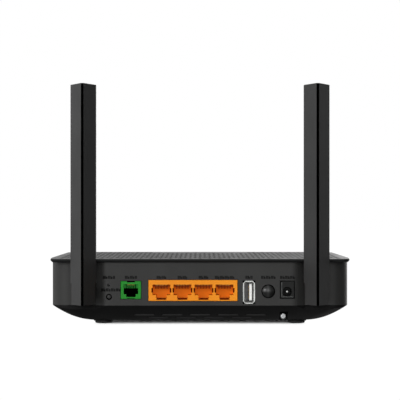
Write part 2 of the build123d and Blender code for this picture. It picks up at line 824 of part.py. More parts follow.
# ---- antennas -----------------------------------------------------------------------------
def antenna_parts(name, x):
    """The pieces of one antenna and its swivel, standing upright at this X."""

    with BuildPart() as shell:
        with BuildSketch(Plane.XY.offset(antenna_bottom_z)):
            with BuildLine():
                Polyline(
                    (x - antenna_half, antenna_back),
                    (x - antenna_half, antenna_side),
                    (x - ridge_half, antenna_ridge),
                    (x + ridge_half, antenna_ridge),
                    (x + antenna_half, antenna_side),
                    (x + antenna_half, antenna_back),
                    close=True,
                )
            make_face()
        extrude(amount=antenna_top_z - antenna_bottom_z)
        # The top falls gently from the ridge to the back.
        with BuildSketch(Plane.YZ.offset(x)):
            with BuildLine():
                Polyline(
                    (antenna_ridge, antenna_top_z),
                    (antenna_back, antenna_top_z - antenna_top_fall),
                    (antenna_back, antenna_top_z + 1.0),
                    (antenna_ridge, antenna_top_z + 1.0),
                    close=True,
                )
            make_face()
        extrude(amount=antenna_half, both=True, mode=Mode.SUBTRACT)
        # The foot is a little narrower than the blade.
        with BuildSketch(Plane.XY.offset(antenna_bottom_z)):
            with Locations((x, (antenna_back + antenna_ridge) / 2)):
                Rectangle(2 * antenna_half, antenna_back - antenna_ridge)
                Rectangle(2 * antenna_foot_half, 20.0, mode=Mode.SUBTRACT)
        extrude(amount=antenna_step_z - antenna_bottom_z, mode=Mode.SUBTRACT)
        # Hollow for the radiating board, open at the back.
        hollow_half = antenna_half - antenna_shell
        with BuildSketch(Plane.XY.offset(antenna_hollow_z[0])):
            with BuildLine():
                Polyline(
                    (x - hollow_half, antenna_back),
                    (x - hollow_half, antenna_side - 0.4),
                    (x - 1.0, antenna_ridge + 2.4),
                    (x + 1.0, antenna_ridge + 2.4),
                    (x + hollow_half, antenna_side - 0.4),
                    (x + hollow_half, antenna_back),
                    close=True,
                )
            make_face()
        extrude(amount=antenna_hollow_z[1] - antenna_hollow_z[0], mode=Mode.SUBTRACT)
        # Slot for the knuckle, open at the back and the bottom.
        with BuildSketch(Plane.YZ.offset(x)):
            reach = knuckle_radius + 0.3
            with BuildLine():
                FilletPolyline(
                    (antenna_back, antenna_bottom_z),
                    (antenna_back, pivot_z + reach),
                    (pivot_y - reach, pivot_z + reach),
                    (pivot_y - reach, antenna_bottom_z),
                    radius=[0.0, 0.0, reach - 0.1, 0.0],
                    close=True,
                )
            make_face()
        extrude(amount=knuckle_half + 0.2, both=True, mode=Mode.SUBTRACT)
        with BuildSketch(Plane.YZ.offset(x)):
            with Locations((pivot_y, pivot_z)):
                Circle(pin_radius)
        extrude(amount=6.8, both=True, mode=Mode.SUBTRACT)
        # Relief so that the foot clears the swivel as it folds.
        with BuildSketch(Plane.YZ.offset(x)):
            with BuildLine():
                relief = 1.5
                Polyline(
                    (antenna_back, antenna_bottom_z),
                    (antenna_back, antenna_bottom_z + relief),
                    (antenna_back - relief, antenna_bottom_z),
                    close=True,
                )
            make_face()
        extrude(amount=antenna_half, both=True, mode=Mode.SUBTRACT)
        # Channel for the lead, from the slot to the hollow.
        with BuildSketch(Plane.XY.offset(pivot_z)):
            with Locations((x, pivot_y)):
                Circle(1.0)
        extrude(amount=antenna_hollow_z[0] - pivot_z, mode=Mode.SUBTRACT)
        # Groove that the glossy strip lies in.
        with BuildSketch(Plane.XY.offset(antenna_bottom_z)):
            with Locations((x, antenna_ridge + ridge_strip_depth / 2)):
                Rectangle(2 * ridge_half, ridge_strip_depth)
        extrude(amount=antenna_top_z - antenna_bottom_z, mode=Mode.SUBTRACT)

    with BuildPart() as strip:
        with BuildSketch(Plane.YZ.offset(x)):
            slope = antenna_top_fall / (antenna_back - antenna_ridge)
            with BuildLine():
                Polyline(
                    (antenna_ridge, antenna_bottom_z),
                    (antenna_ridge + ridge_strip_depth, antenna_bottom_z),
                    (antenna_ridge + ridge_strip_depth, antenna_top_z - slope * ridge_strip_depth),
                    (antenna_ridge, antenna_top_z),
                    close=True,
                )
            make_face()
        extrude(amount=ridge_half, both=True)

    with BuildPart() as back:
        back_thickness = 1.5
        with BuildSketch(Plane.XY.offset(antenna_hollow_z[0] + 0.1)):
            with Locations((x, antenna_back - back_thickness / 2)):
                Rectangle(2 * hollow_half - 0.2, back_thickness)
        extrude(amount=antenna_hollow_z[1] - antenna_hollow_z[0] - 0.2)

    with BuildPart() as element:
        with BuildSketch(Plane.XY.offset(40.0)):
            with Locations((x, antenna_side - 0.2)):
                Rectangle(10.0, 0.8)
        extrude(amount=108.0)

    with BuildPart() as tail:
        with BuildSketch(Plane.XY.offset(pivot_z + 4.4)):
            with Locations((x, pivot_y)):
                Circle(0.65)
        extrude(amount=40.0 - pivot_z - 4.4)

    with BuildPart() as pin:
        with BuildSketch(Plane.YZ.offset(x)):
            with Locations((pivot_y, pivot_z)):
                Circle(pin_radius)
        extrude(amount=6.8, both=True)

    with BuildPart() as swivel:
        disc_near = wall_y + 1.9
        disc_far = bay_y - 0.1
        shaft_end = bay_y + wall_thickness + 2.4
        with BuildSketch(Plane.XZ.offset(-disc_near)):
            with Locations((x, pivot_z)):
                Circle(swivel_disc_radius)
        extrude(amount=-(disc_far - disc_near))
        chamfer(swivel.edges().group_by(Axis.Y)[0], length=0.5)
        with BuildSketch(Plane.XZ.offset(-disc_far)):
            with Locations((x, pivot_z)):
                Circle(swivel_shaft_radius)
        extrude(amount=-(shaft_end - disc_far))
        with BuildSketch(Plane.YZ.offset(x)):
            with BuildLine():
                Line((disc_near, pivot_z - knuckle_radius), (pivot_y, pivot_z - knuckle_radius))
                ThreePointArc(
                    (pivot_y, pivot_z - knuckle_radius),
                    (pivot_y - knuckle_radius, pivot_z),
                    (pivot_y, pivot_z + knuckle_radius),
                )
                Line((pivot_y, pivot_z + knuckle_radius), (disc_near, pivot_z + knuckle_radius))
                Line((disc_near, pivot_z + knuckle_radius), (disc_near, pivot_z - knuckle_radius))
            make_face()
        extrude(amount=knuckle_half, both=True)
        with BuildSketch(Plane.YZ.offset(x)):
            with Locations((pivot_y, pivot_z)):
                Circle(pin_radius + running_gap)
        extrude(amount=knuckle_half, both=True, mode=Mode.SUBTRACT)
        with BuildSketch(Plane.XZ.offset(-shaft_end)):
            with Locations((x, pivot_z)):
                Circle(swivel_bore_radius)
        extrude(amount=shaft_end - pivot_y - 2.4, mode=Mode.SUBTRACT)

    with BuildPart() as clip:
        with BuildSketch(Plane.XZ.offset(-(bay_y + wall_thickness + 0.1))):
            with Locations((x, pivot_z)):
                Circle(swivel_shaft_radius + 1.8)
                Circle(swivel_shaft_radius, mode=Mode.SUBTRACT)
        extrude(amount=-1.2)

    with BuildPart() as lead:
        side = 1 if x > 0 else -1
        start = (side * lead_start_x, lead_start_y, board_top_z + 1.3)
        with BuildLine() as route:
            FilletPolyline(
                start,
                (start[0], start[1], 24.0),
                (x, 2.0, 24.0),
                (x, -30.0, pivot_z),
                (x, bay_y + wall_thickness + 3.0, pivot_z),
                radius=[3.2, 8.0, 60.0],
            )
        with BuildSketch(route.line ^ 0):
            Circle(0.65)
        sweep()

    return {
        f"{name}_antenna_shell": shell,
        f"{name}_antenna_strip": strip,
        f"{name}_antenna_back": back,
        f"{name}_antenna_element": element,
        f"{name}_antenna_tail": tail,
        f"{name}_hinge_pin": pin,
        f"{name}_swivel": swivel,
        f"{name}_swivel_clip": clip,
        f"{name}_antenna_lead": lead,
    }


# ---- write each sub-part ------------------------------------------------------------------
os.makedirs("parts", exist_ok=True)
every_part = {
    **static_parts,
    **antenna_parts("left", -antenna_x),
    **antenna_parts("right", antenna_x),
}
for part_name, builder in every_part.items():
    builder.part.label = part_name
    export_step(builder.part, f"parts/{part_name}.step")
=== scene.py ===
"""Looks of the two-antenna gateway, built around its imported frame. Metres, +Z up, sockets face -Y."""

import itertools
import math

import bmesh
import bpy
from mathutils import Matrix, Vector
from mathutils.geometry import delaunay_2d_cdt
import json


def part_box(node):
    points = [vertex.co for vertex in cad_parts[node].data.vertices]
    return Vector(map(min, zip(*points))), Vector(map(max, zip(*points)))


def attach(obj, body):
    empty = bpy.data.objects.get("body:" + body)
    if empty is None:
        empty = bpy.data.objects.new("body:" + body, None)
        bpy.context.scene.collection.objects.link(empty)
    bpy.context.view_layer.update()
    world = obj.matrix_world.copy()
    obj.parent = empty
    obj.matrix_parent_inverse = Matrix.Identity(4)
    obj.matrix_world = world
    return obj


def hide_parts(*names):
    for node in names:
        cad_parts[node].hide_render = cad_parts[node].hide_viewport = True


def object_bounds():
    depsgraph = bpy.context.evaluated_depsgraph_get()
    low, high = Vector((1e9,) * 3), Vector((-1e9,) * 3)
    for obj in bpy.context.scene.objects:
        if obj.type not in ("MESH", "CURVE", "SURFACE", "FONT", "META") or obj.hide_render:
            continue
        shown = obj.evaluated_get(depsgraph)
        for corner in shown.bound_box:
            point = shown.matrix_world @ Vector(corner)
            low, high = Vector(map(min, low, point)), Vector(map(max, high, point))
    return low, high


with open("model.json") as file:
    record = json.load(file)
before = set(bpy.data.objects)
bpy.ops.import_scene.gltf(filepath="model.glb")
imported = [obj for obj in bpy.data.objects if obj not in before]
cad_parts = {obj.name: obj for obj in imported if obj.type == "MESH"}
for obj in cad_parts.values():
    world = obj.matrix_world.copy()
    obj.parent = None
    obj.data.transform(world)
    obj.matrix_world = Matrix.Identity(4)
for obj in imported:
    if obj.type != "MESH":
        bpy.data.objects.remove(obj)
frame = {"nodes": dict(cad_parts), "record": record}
nodes = frame["nodes"]
cad_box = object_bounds()
MM = 0.001

# ---- places read from the frame -----------------------------------------------------------
panel_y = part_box("socket_panel")[0].y
cover_low, cover_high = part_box("top_cover")
label_low, label_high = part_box("rating_label")
lan_low, lan_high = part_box("lan_jack_block")
phone_low, phone_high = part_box("phone_jack")
usb_low, usb_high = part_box("usb_shell")
inlet_low, inlet_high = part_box("power_jack")
power_low, power_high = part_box("power_button")
wps_low, wps_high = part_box("wps_button")
led_low, led_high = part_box("status_leds")


def middle(low, high):
    return (low + high) / 2


# ---- camera -------------------------------------------------------------------------------
camera_distance = 1.0  # from the socket panel
camera_height = 0.0835
camera_data = bpy.data.cameras.new("camera")
camera_data.lens = 135.7
camera_data.sensor_width = 36.0
camera = bpy.data.objects.new("camera", camera_data)
camera.location = (0.0, panel_y - camera_distance, camera_height)
camera.rotation_euler = (math.radians(90), 0.0, 0.0)
bpy.context.scene.collection.objects.link(camera)
bpy.context.scene.camera = camera
bpy.context.scene.view_settings.view_transform = "Standard"


# ---- small node helpers -------------------------------------------------------------------
def linear(hex_colour):
    """Linear RGBA of an sRGB colour written as rrggbb."""
    channels = []
    for i in (0, 2, 4):
        value = int(hex_colour[i : i + 2], 16) / 255
        channels.append(value / 12.92 if value <= 0.04045 else ((value + 0.055) / 1.055) ** 2.4)
    return (*channels, 1.0)


def connect(tree, socket, value):
    """Link value to the socket if it is another node's output, and set it otherwise."""
    if isinstance(value, bpy.types.NodeSocket):
        tree.links.new(value, socket)
    else:
        socket.default_value = value


class Graph:
    """A material's or a world's node tree, with the few node kinds that this scene uses."""

    def __init__(self, tree):
        self.tree = tree
        tree.nodes.clear()

    def add(self, kind, **inputs):
        node = self.tree.nodes.new(kind)
        for name, value in inputs.items():
            self.feed(node, name.replace("_", " "), value)
        return node

    def feed(self, node, socket_name, value):
        connect(self.tree, node.inputs[socket_name], value)

    def math(self, operation, first, second=0.0):
        node = self.tree.nodes.new("ShaderNodeMath")
        node.operation = operation
        connect(self.tree, node.inputs[0], first)
        connect(self.tree, node.inputs[1], second)
        return node.outputs[0]

    def place(self, scale=(1.0, 1.0, 1.0)):
        """Object coordinates, stretched by scale."""
        coordinates = self.tree.nodes.new("ShaderNodeTexCoord")
        mapping = self.add("ShaderNodeMapping", Vector=coordinates.outputs["Object"])
        mapping.inputs["Scale"].default_value = scale
        return mapping.outputs["Vector"]

    def noise(self, vector, scale, detail=3.0, roughness=0.5):
        node = self.add("ShaderNodeTexNoise", Vector=vector, Scale=scale, Detail=detail, Roughness=roughness)
        return node.outputs["Fac"]

    def spread(self, value, low, high, source=(0.3, 0.7)):
        """value, from the range source to the range low to high."""
        node = self.add("ShaderNodeMapRange", Value=value)
        node.inputs["From Min"].default_value = source[0]
        node.inputs["From Max"].default_value = source[1]
        node.inputs["To Min"].default_value = low
        node.inputs["To Max"].default_value = high
        return node.outputs["Result"]

    def blend(self, factor, first, second):
        node = self.tree.nodes.new("ShaderNodeMix")
        node.data_type = "RGBA"
        self.feed(node, "Factor", factor)
        connect(self.tree, node.inputs[6], first)
        connect(self.tree, node.inputs[7], second)
        return node.outputs[2]

    def bump(self, height, distance):
        node = self.add("ShaderNodeBump", Height=height, Distance=distance, Strength=1.0)
        return node.outputs["Normal"]


def finish_surface(graph, colour, roughness, normal, **settings):
    shader = graph.add("ShaderNodeBsdfPrincipled")
    graph.feed(shader, "Base Color", colour)
    graph.feed(shader, "Roughness", roughness)
    if normal is not None:
        graph.feed(shader, "Normal", normal)
    for name, value in settings.items():
        shader.inputs[name.replace("_", " ")].default_value = value
    output = graph.add("ShaderNodeOutputMaterial")
    graph.tree.links.new(shader.outputs[0], output.inputs[0])


def new_graph(name):
    material = bpy.data.materials.new(name)
    material.use_nodes = True
    return material, Graph(material.node_tree)


# ---- materials ----------------------------------------------------------------------------
# Grain of each kind of moulded surface: the size of a grain and its depth.
pad_grain = (0.6 * MM, 0.03 * MM)
belly_grain = (0.5 * MM, 0.03 * MM)
casing_grain = (0.35 * MM, 0.02 * MM)
antenna_grain = (0.3 * MM, 0.015 * MM)
inlet_grain = (0.4 * MM, 0.012 * MM)
cover_grain = (0.35 * MM, 0.01 * MM)
lead_grain = (0.3 * MM, 0.01 * MM)
socket_grain = (0.5 * MM, 0.008 * MM)
tongue_grain = (0.5 * MM, 0.006 * MM)
key_grain = (0.5 * MM, 0.004 * MM)
ink_grain = (0.3 * MM, 0.004 * MM)
gloss_grain = (0.6 * MM, 0.001 * MM)


def moulded(name, dark, light, rough, grain, shine=0.5, **settings):
    """Injection-moulded plastic: a fine spark-eroded grain, a slow drift of tone and handling marks."""
    material, graph = new_graph(name)
    place = graph.place()
    drift = graph.noise(place, 18.0, 4.0)
    smudge = graph.noise(graph.place((1.0, 1.0, 0.45)), 55.0, 5.0, 0.62)
    grain_size, grain_depth = grain
    grit = graph.noise(place, 1.0 / grain_size, 2.0, 0.6)
    colour = graph.blend(graph.spread(drift, 0.0, 1.0), linear(dark), linear(light))
    roughness = graph.spread(smudge, rough[0], rough[1])
    normal = graph.bump(grit, grain_depth)
    finish_surface(graph, colour, roughness, normal, Specular_IOR_Level=shine, **settings)
    return material


def metal(name, dark, light, rough, stretch=(1.0, 1.0, 1.0), **settings):
    """Plated or rolled metal with fine drawn lines along the axis that stretch makes long."""
    material, graph = new_graph(name)
    lines = graph.noise(graph.place(stretch), 900.0, 3.0, 0.6)
    stain = graph.noise(graph.place(), 140.0, 4.0)
    colour = graph.blend(graph.spread(stain, 0.0, 1.0), linear(dark), linear(light))
    roughness = graph.spread(lines, rough[0], rough[1])
    normal = graph.bump(lines, 0.006 * MM)
    finish_surface(graph, colour, roughness, normal, Metallic=1.0, **settings)
    return material


def rubber(name, dark, light):
    material, graph = new_graph(name)
    place = graph.place()
    speck = graph.noise(place, 2600.0, 3.0, 0.7)
    dust = graph.noise(place, 260.0, 5.0, 0.7)
    colour = graph.blend(graph.spread(dust, 0.0, 1.0, (0.45, 0.8)), linear(dark), linear(light))
    roughness = graph.spread(dust, 0.62, 0.85)
    finish_surface(graph, colour, roughness, graph.bump(speck, 0.03 * MM), Specular_IOR_Level=0.3)
    return material


def circuit_board(name, mask, copper):
    """Solder mask with copper traces showing through as slightly raised, lighter paths."""
    material, graph = new_graph(name)
    place = graph.place()
    cells = graph.add("ShaderNodeTexVoronoi", Vector=place, Scale=240.0)
    cells.distance = "CHEBYCHEV"
    cells.feature = "F1"
    paths = graph.add("ShaderNodeTexBrick", Vector=place, Scale=180.0, Mortar_Size=0.09)
    traces = graph.math("MULTIPLY", paths.outputs["Fac"], graph.spread(cells.outputs["Distance"], 0.2, 1.0))
    drift = graph.noise(place, 30.0, 3.0)
    base = graph.blend(graph.spread(drift, 0.0, 0.4), linear(mask), linear(copper))
    colour = graph.blend(traces, base, linear(copper))
    normal = graph.bump(traces, 0.03 * MM)
    finish_surface(graph, colour, graph.spread(drift, 0.25, 0.38), normal, Coat_Weight=0.4)
    return material


def printed(name, paper, ink):
    """Matte label stock with a slight fibre."""
    material, graph = new_graph(name)
    place = graph.place()
    fibre = graph.noise(graph.place((1.0, 4.0, 1.0)), 900.0, 4.0, 0.7)
    drift = graph.noise(place, 60.0)
    colour = graph.blend(graph.spread(drift, 0.0, 0.35), linear(paper), linear(ink))
    finish_surface(graph, colour, graph.spread(fibre, 0.5, 0.66), graph.bump(fibre, 0.008 * MM))
    return material


def chip_package(name, dark, light):
    material, graph = new_graph(name)
    place = graph.place()
    grit = graph.noise(place, 3200.0, 3.0, 0.7)
    drift = graph.noise(place, 120.0)
    colour = graph.blend(graph.spread(grit, 0.0, 1.0), linear(dark), linear(light))
    finish_surface(graph, colour, graph.spread(drift, 0.48, 0.62), graph.bump(grit, 0.015 * MM))
    return material


def lens(name, tint, frost):
    """Milky moulded light pipe."""
    material, graph = new_graph(name)
    cloud = graph.noise(graph.place(), 420.0, 3.0)
    colour = graph.blend(graph.spread(cloud, 0.0, 1.0), linear(tint), linear(frost))
    roughness = graph.spread(cloud, 0.16, 0.28)
    finish_surface(graph, colour, roughness, None, IOR=1.49, Transmission_Weight=0.35)
    return material


casing = moulded("casing_black", "252524", "2a2a29", (0.46, 0.58), casing_grain, 0.3)
cover_black = moulded("cover_black", "252525", "2a2a2a", (0.3, 0.4), cover_grain)
# Painted shade: a darker copy of the cover plastic for the rim's sides.
cover_rim_shade = moulded("cover_rim_shade", "131414", "171818", (0.4, 0.5), cover_grain, 0.25)
# Painted shade: a darker, dull copy of the cover plastic for the lozenge recesses.
cover_recess_shade = moulded("cover_recess_shade", "101010", "161616", (0.6, 0.7), cover_grain, 0.0)
# Darker plastic than the walls, made darker still as painted shade for the little light that reaches the
# underside.
belly = moulded("belly_black", "090909", "0d0d0d", (0.55, 0.68), belly_grain, 0.12)
# Painted highlight: far lighter than the belly, for the lit far edges of the vent slots.
lip_highlight = moulded("lip_highlight_black", "292929", "303030", (0.55, 0.68), belly_grain, 0.15)
antenna = moulded("antenna_black", "242424", "292929", (0.42, 0.52), antenna_grain, 0.3)
strip = moulded("strip_gloss", "000000", "020202", (0.1, 0.2), gloss_grain, 0.0)
orange = moulded("lan_orange", "ee8a14", "f7981c", (0.4, 0.5), socket_grain, 0.15)
# Painted shade: a darker copy of the socket orange for the comb teeth inside the ports.
lan_comb = moulded("comb_orange_shaded", "6c2408", "7c2c0b", (0.5, 0.6), socket_grain, 0.1)
lan_shade = moulded("shade_orange", "4a1205", "5a1a07", (0.6, 0.7), socket_grain, 0.0)
lan_inner_glow = moulded(
    "inner_orange_glow",
    "e07410",
    "ea8016",
    (0.5, 0.6),
    socket_grain,
    0.1,
    Emission_Color=linear("d86a12"),
    Emission_Strength=0.32,  # painted light: a glow that brightens the shaded inside of the ports
)
green = moulded("phone_green", "1f8327", "288f2f", (0.4, 0.5), socket_grain, 0.12)
# Painted shade: a darker copy of the socket green for the comb teeth inside the phone socket.
phone_comb = moulded("comb_green_shaded", "1f7026", "257c2c", (0.5, 0.6), socket_grain, 0.1)
socket_black = moulded("socket_black", "090a09", "0e0f0e", (0.4, 0.5), inlet_grain, 0.2)
# Painted highlight: lighter grey than the inlet's body, for its lit ledge.
ledge_highlight_grey = moulded("ledge_highlight_grey", "484a49", "515352", (0.4, 0.5), casing_grain)
# Painted shade: near-black for linings and backings put where the sockets and key gaps lie in shade.
dark = moulded("cavity_shade_black", "010101", "020202", (0.7, 0.8), socket_grain, 0.0)
key = moulded("key_black", "101110", "151615", (0.22, 0.3), key_grain)
tongue = moulded("tongue_white", "e9e9e6", "f6f6f3", (0.3, 0.4), tongue_grain)
pad = moulded("pad_grey", "8d9298", "9da2a8", (0.6, 0.75), pad_grain)
lead = moulded("lead_black", "111111", "1a1a1a", (0.4, 0.5), lead_grain)
ink = moulded("mark_ink", "060606", "0a0a0a", (0.6, 0.7), ink_grain, 0.05)
feet = rubber("foot_rubber", "1b1b1b", "2b2a29")
board = circuit_board("board_green", "0b3d22", "3f7d4a")
chips = chip_package("chip_black", "141416", "232326")
label = printed("label_grey", "8f9192", "6f7173")
clear = lens("lens_clear", "d9dde0", "f2f4f5")
# Painted shade: a darker copy of the socket steel for the inside of the USB mouth.
usb_dark = metal("shaded_steel", "5c5c5c", "6e6e6e", (0.4, 0.5))
steel = metal("socket_steel", "8c8d8b", "b4b5b3", (0.22, 0.34), (1.0, 1.0, 0.06))
screw = metal("screw_steel", "8e8f90", "b2b3b4", (0.26, 0.4))
shield = metal("shield_steel", "a4a7a9", "c3c6c8", (0.3, 0.42), (0.08, 1.0, 1.0))
aluminium = metal("sink_aluminium", "8b9096", "aab0b6", (0.34, 0.46), (1.0, 0.05, 1.0))
gold = metal("contact_gold", "8d6a30", "b08a48", (0.24, 0.36))

slot_materials = {
    "casing_black": casing,
    "belly_black": belly,
    "foot_rubber": feet,
    "label_grey": label,
    "screw_steel": screw,
    "board_green": board,
    "lan_orange": orange,
    "contact_gold": gold,
    "phone_green": green,
    "chip_black": chips,
    "socket_steel": steel,
    "tongue_white": tongue,
    "socket_black": socket_black,
    "key_black": key,
    "pad_grey": pad,
    "sink_aluminium": aluminium,
    "shield_steel": shield,
    "lens_clear": clear,
    "antenna_black": antenna,
    "strip_gloss": strip,
    "lead_black": lead,
}
for part in frame["record"]["subparts"]:
    data = nodes[part["node"]].data
    data.materials.clear()
    data.materials.append(slot_materials[part["material_slot"]])
# Only its end shows, deep in the reset hole; it takes the dark key plastic there as painted shade.
nodes["reset_plunger"].data.materials[0] = key


# ---- mesh helpers -------------------------------------------------------------------------
def add_piece(name, build, material, body="housing", smooth_angle=None):
    """A new piece: build(bm) fills its mesh."""
    bm = bmesh.new()
    build(bm)
    bmesh.ops.recalc_face_normals(bm, faces=bm.faces)
    data = bpy.data.meshes.new(name)
    bm.to_mesh(data)
    bm.free()
    data.materials.append(material)
    piece = bpy.data.objects.new(name, data)
    bpy.context.scene.collection.objects.link(piece)
    if smooth_angle is not None:
        data.shade_smooth()
        data.set_sharp_from_angle(angle=math.radians(smooth_angle))
    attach(piece, body)
    return piece


def add_block(bm, low, high, edge=0.0):
    """A box with its edges rounded off by edge."""
    corners = [bm.verts.new(corner) for corner in itertools.product(*zip(low, high))]
    quads = ((0, 1, 3, 2), (4, 6, 7, 5), (0, 4, 5, 1), (2, 3, 7, 6), (0, 2, 6, 4), (1, 5, 7, 3))
    faces = [bm.faces.new([corners[i] for i in quad]) for quad in quads]
    if edge:
        edges = {e for f in faces for e in f.edges}
        bmesh.ops.bevel(bm, geom=list(edges), offset=edge, segments=2, profile=0.5, affect="EDGES")


def add_pair(bm, centre_x, inner, outer, low, high, edge=0.0):
    """A box at either side of centre_x, from inner to outer. low and high give Y and Z."""
    for side in (-1, 1):
        left, right = sorted((centre_x + side * inner, centre_x + side * outer))
        add_block(bm, (left, *low), (right, *high), edge)


# ---- cover with a moulded lozenge net -----------------------------------------------------
lozenge_width = 6.6 * MM
lozenge_length = lozenge_width * math.sqrt(3)
lozenge_share = 0.62  # of each cell, the rest is the net
floor_share = 0.3  # of each recess, the rest is its sloping sides
lozenge_depth = 0.16 * MM
cover_margin = 2.6 * MM
led_band = (36.0 * MM, 5.5 * MM)  # half sizes of the plain band round the status lights
top_tolerance = 0.001 * MM


def segment_distance(point, start, end):
    along = end - start
    share = max(0.0, min(1.0, (point - start).dot(along) / along.length_squared))
    return (start + along * share - point).length


def inside(point, loop):
    """Whether the 2-D point is inside the closed loop of 2-D points."""
    odd = False
    for start, end in zip(loop, loop[1:] + loop[:1]):
        if (start.y > point.y) != (end.y > point.y):
            if point.x < (end.x - start.x) * (point.y - start.y) / (end.y - start.y) + start.x:
                odd = not odd
    return odd


def at_height(item, height):
    """Whether every vertex of this face or edge is at the height."""
    return all(abs(v.co.z - height) < top_tolerance for v in item.verts)


def boundary_loops(bm, height):
    """The open edges at this height, as closed loops of vertices, the longest first."""
    open_edges = [e for e in bm.edges if len(e.link_faces) == 1 and at_height(e, height)]
    following = {}
    for e in open_edges:
        for v in e.verts:
            following.setdefault(v, []).append(e)
    loops, used = [], set()
    for first in open_edges:
        if first in used:
            continue
        loop, vertex, e = [], first.verts[0], first
        while e is not None:
            used.add(e)
            loop.append(vertex)
            vertex = e.other_vert(vertex)
            e = next((x for x in following[vertex] if x not in used), None)
        loops.append(loop)
    return sorted(loops, key=len, reverse=True)


def lozenge_rings(outline, led_y):
    """(outer, inner) rings of four 2-D points, one pair for each recess of the net."""
    half = Vector((lozenge_width / 2, lozenge_length / 2))
    columns = math.ceil(cover_high.x / lozenge_width)
    rows = math.ceil((cover_high.y - cover_low.y) / lozenge_length)
    start_y = middle(cover_low, cover_high).y
    directions = ((1, 0), (0, 1), (-1, 0), (0, -1))
    band_half_y = led_band[1] + half.y * lozenge_share
    edges = list(zip(outline, outline[1:] + outline[:1]))
    cells = itertools.product(range(-rows, rows + 1), range(-columns, columns + 1), (0.0, 0.5))
    rings = []
    for row, column, shift in cells:
        centre = Vector(((column + shift) * lozenge_width, start_y + (row + shift) * lozenge_length))
        outer = [centre + Vector((x * half.x, y * half.y)) * lozenge_share for x, y in directions]
        if abs(centre.x) < led_band[0] and abs(centre.y - led_y) < band_half_y:
            continue
        if not all(inside(p, outline) for p in outer):
            continue
        if min(segment_distance(p, a, b) for p in outer for a, b in edges) < cover_margin:
            continue
        inner = [centre + (p - centre) * floor_share for p in outer]
        rings.append((outer, inner))
    return rings


def textured_cover(bm):
    """The cover with its flat top cut out and filled again round the rings of the lozenges."""
    bm.from_mesh(nodes["top_cover"].data)
    bmesh.ops.remove_doubles(bm, verts=bm.verts, dist=top_tolerance)
    top = cover_high.z
    flat = [f for f in bm.faces if at_height(f, top)]
    bmesh.ops.delete(bm, geom=flat, context="FACES")
    for v in bm.verts:
        if abs(v.co.z - top) < top_tolerance:
            v.co.z = top
    loops = boundary_loops(bm, top)
    outline = [Vector(v.co[:2]) for v in loops[0]]
    rings = lozenge_rings(outline, middle(led_low, led_high).y)
    made, points, edges = [], [], []
    for loop in loops:
        first = len(points)
        points += [Vector(v.co[:2]) for v in loop]
        made += loop
        edges += [(first + i, first + (i + 1) % len(loop)) for i in range(len(loop))]
    for outer, inner in rings:
        for ring, height in ((outer, top), (inner, top - lozenge_depth)):
            first = len(points)
            points += ring
            made += [bm.verts.new((p.x, p.y, height)) for p in ring]
            edges += [(first + i, first + (i + 1) % 4) for i in range(4)]
        outer_first = len(points) - 8
        edges += [(outer_first + i, outer_first + 4 + i) for i in range(4)]
    outer_face = list(range(len(loops[0])))
    inside_only = 1
    closest = 1e-7
    found = delaunay_2d_cdt(points, edges, [outer_face], inside_only, closest)
    coordinates, triangles, origins = found[0], found[2], found[3]
    holes = [[Vector(v.co[:2]) for v in loop] for loop in loops[1:]]
    for triangle in triangles:
        centre = sum((coordinates[i] for i in triangle), Vector((0.0, 0.0))) / len(triangle)
        if any(inside(centre, hole) for hole in holes) or not inside(centre, outline):
            continue
        bm.faces.new([made[origins[i][0]] for i in triangle])


top_cover = add_piece("top_cover_lozenges", textured_cover, cover_black, smooth_angle=25)
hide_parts("top_cover")
top_cover.data.materials.append(cover_rim_shade)
top_cover.data.materials.append(cover_recess_shade)
recess_bottom_z = cover_high.z - 1.1 * lozenge_depth
recess_top_z = cover_high.z - 0.01 * MM
# The rim's sides and the recesses take darker copies of the cover plastic: painted shade.
for face in top_cover.data.polygons:
    if face.normal.z < 0.9:
        face.material_index = 1  # cover_rim_shade
    elif recess_bottom_z < face.center.z < recess_top_z:
        face.material_index = 2  # cover_recess_shade

# ---- insides of the sockets ---------------------------------------------------------------
comb_front = panel_y + 1.4 * MM
comb_back = panel_y + 9.5 * MM
comb_dip = panel_y + 5.5 * MM  # the teeth reach lower from here to the back
comb_edge = 0.06 * MM
shade_near = panel_y + 0.9 * MM  # thin dark pieces lie between these two depths
shade_far = panel_y + 1.1 * MM

lan_pitch = 13.97 * MM
lan_middle = middle(lan_low, lan_high).x
lan_centres = [lan_middle + (i - 1.5) * lan_pitch for i in range(4)]
lan_teeth = 9
lan_tooth_pitch = 1.02 * MM
lan_tooth_width = 0.42 * MM
lan_opening_top = 27.4 * MM
lan_comb_low = 25.6 * MM
lan_comb_dip_low = 24.2 * MM
lan_notch = (5.6 * MM, 6.6 * MM)  # latch notch, from the port's middle
lan_notch_z = (22.1 * MM, 25.1 * MM)
lan_slot_half = 3.5 * MM  # slot under the tab
lan_slot_z = (17.3 * MM, 18.4 * MM)
lan_tab_top = 20.4 * MM
lan_back = panel_y + 12.5 * MM

phone_middle = middle(phone_low, phone_high).x
phone_teeth = 5
phone_tooth_pitch = 1.27 * MM
phone_tooth_width = 0.6 * MM
phone_post = (3.5 * MM, 4.7 * MM)  # solid block at either end of the comb
phone_opening_top = 27.6 * MM
phone_comb_low = 24.9 * MM


def comb(bm, centre_x, pitch, teeth, width, low_z, high_z):
    """A row of upright teeth, centred on centre_x."""
    for i in range(teeth):
        x = centre_x + (i - (teeth - 1) / 2) * pitch
        add_block(bm, (x - width / 2, comb_front, low_z), (x + width / 2, comb_back, high_z), comb_edge)


